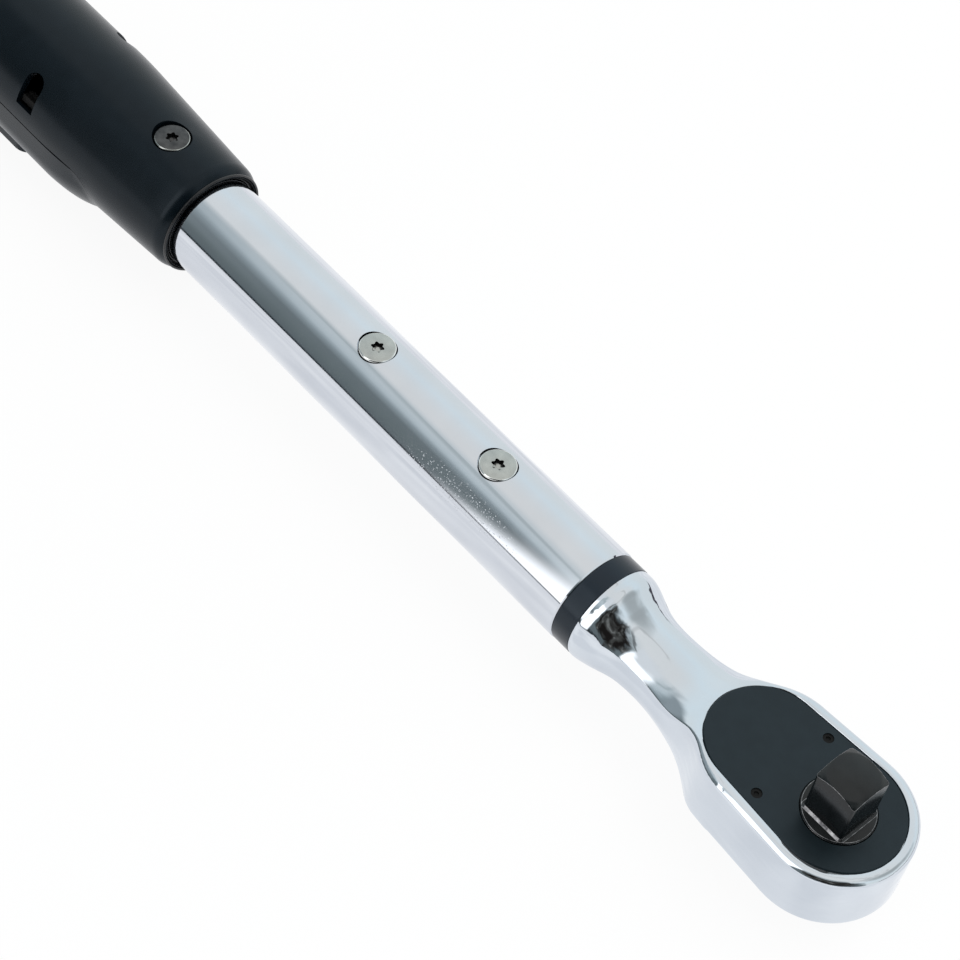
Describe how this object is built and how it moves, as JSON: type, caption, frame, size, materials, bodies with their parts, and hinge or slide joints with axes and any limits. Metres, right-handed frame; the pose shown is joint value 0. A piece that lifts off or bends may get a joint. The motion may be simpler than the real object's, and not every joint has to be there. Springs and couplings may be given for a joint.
{
  "type": "digital torque wrench",
  "caption": "Digital torque wrench: reversible ratchet head with a square drive, chromed tube, electronics housing with display and keys, rubber grip and screwed battery cap.",
  "frame": {"origin": "where the drive square's axis crosses the tube's axis", "axes": "+X along the tool towards the head, +Z along the drive square towards its free end; the display looks along -Z"},
  "size_m": [0.613, 0.041, 0.0473],
  "materials": {
    "head_chrome": "polished chrome plate",
    "tube_chrome": "polished chrome plate",
    "black_plate": "satin black",
    "screw_black": "black",
    "drive_steel": "black oxide, worn bright at the edges",
    "ball_steel": "polished",
    "spring_steel": "drawn wire",
    "pawl_steel": "ground",
    "pin_steel": "ground",
    "lever_black": "satin black",
    "black_ring": "satin black",
    "screw_nickel": "nickel plated",
    "screw_dark": "dark zinc plated",
    "gauge_foil": "amber foil",
    "cable_grey": "grey jacket",
    "housing_black": "fine satin",
    "seal_rubber": "matt",
    "lens_clear": "clear window",
    "lcd_face": "grey-green display",
    "board_green": "solder mask",
    "switch_metal": "stamped",
    "part_black": "moulded",
    "light_milky": "milky clear",
    "grip_rubber": "matt grip",
    "liner_plastic": "natural plastic",
    "cell_wrap": "plain printed can, weight of a dry cell",
    "contact_nickel": "nickel plated",
    "lead_red": "insulated wire",
    "cap_plastic": "satin",
    "button_grey": "soft touch"
  },
  "bodies": {
    "wrench": {"ratchet_head": "head_chrome", "cover_plate": "black_plate", "cover_screws": "screw_black", "pawl_pin": "pin_steel", "trim_ring": "black_ring", "main_tube": "tube_chrome", "tube_screws": "screw_nickel", "strain_gauges": "gauge_foil", "gauge_cable": "cable_grey", "rear_shell": "housing_black", "display_cover": "housing_black", "housing_screws": "screw_dark", "mouth_seal": "seal_rubber", "display_lens": "lens_clear", "lcd_panel": "lcd_face", "main_board": "board_green", "board_screws": "screw_nickel", "key_switches": "switch_metal", "buzzer": "part_black", "light_pipes": "light_milky", "grip_sleeve": "grip_rubber", "battery_tube": "liner_plastic", "front_battery": "cell_wrap", "rear_battery": "cell_wrap", "front_contact": "contact_nickel", "battery_leads": "lead_red"},
    "drive": {"drive_gear": "drive_steel", "detent_spring": "spring_steel"},
    "detent_ball": {"detent_ball": "ball_steel"},
    "pawl": {"pawl": "pawl_steel"},
    "lever": {"reverse_lever": "lever_black", "lever_clip": "spring_steel", "plunger_spring": "spring_steel"},
    "plunger": {"pawl_plunger": "pin_steel"},
    "button_power": {"button_power": "button_grey"},
    "button_mode": {"button_mode": "button_grey"},
    "button_up": {"button_up": "button_grey"},
    "button_down": {"button_down": "button_grey"},
    "cap_contact": {"cap_spring": "spring_steel"},
    "cap": {"battery_cap": "cap_plastic", "cap_o_ring": "seal_rubber"}
  },
  "joints": [
    {"name": "drive_spin", "type": "hinge", "parent": "wrench", "child": "drive", "pos_m": [0, 0, 0], "axis": [0, 0, 1], "continuous": true},
    {"name": "detent_press", "type": "slide", "parent": "drive", "child": "detent_ball", "axis": [0, -1, 0], "range_m": [0, 0.0007], "stiffness_N_per_m": 900, "deforming": ["detent_spring"]},
    {"name": "lever_turn", "type": "hinge", "parent": "wrench", "child": "lever", "pos_m": [-0.0295, 0, 0], "axis": [0, 0, -1], "range_deg": [0, 56]},
    {"name": "pawl_rock", "type": "hinge", "parent": "wrench", "child": "pawl", "pos_m": [-0.0195, 0, 0], "axis": [0, 0, 1], "range_deg": [0, 16]},
    {"name": "plunger_slide", "type": "slide", "parent": "lever", "child": "plunger", "axis": [-0.8829, -0.4695, 0], "range_m": [0, 0.0008], "stiffness_N_per_m": 900, "deforming": ["plunger_spring"]},
    {"name": "button_power_press", "type": "slide", "parent": "wrench", "child": "button_power", "axis": [0, 0, 1], "range_m": [0, 0.0006], "stiffness_N_per_m": 600},
    {"name": "button_mode_press", "type": "slide", "parent": "wrench", "child": "button_mode", "axis": [0, 0, 1], "range_m": [0, 0.0006], "stiffness_N_per_m": 600},
    {"name": "button_up_press", "type": "slide", "parent": "wrench", "child": "button_up", "axis": [0, 0, 1], "range_m": [0, 0.0006], "stiffness_N_per_m": 600},
    {"name": "button_down_press", "type": "slide", "parent": "wrench", "child": "button_down", "axis": [0, 0, 1], "range_m": [0, 0.0006], "stiffness_N_per_m": 600},
    {"name": "cap_travel", "type": "slide", "parent": "wrench", "child": "cap_contact", "axis": [-1, 0, 0], "range_m": [0, 0.006]},
    {"name": "cap_turn", "type": "hinge", "parent": "cap_contact", "child": "cap", "pos_m": [-0.585, 0, 0], "axis": [-1, 0, 0], "range_deg": [0, 1080]}
  ],
  "couplings": [
    {"joint": "pawl_rock", "follows": "lever_turn", "ratio": 0.28571},
    {"joint": "cap_turn", "follows": "cap_travel", "rad_per_m": 3141.6}
  ]
}
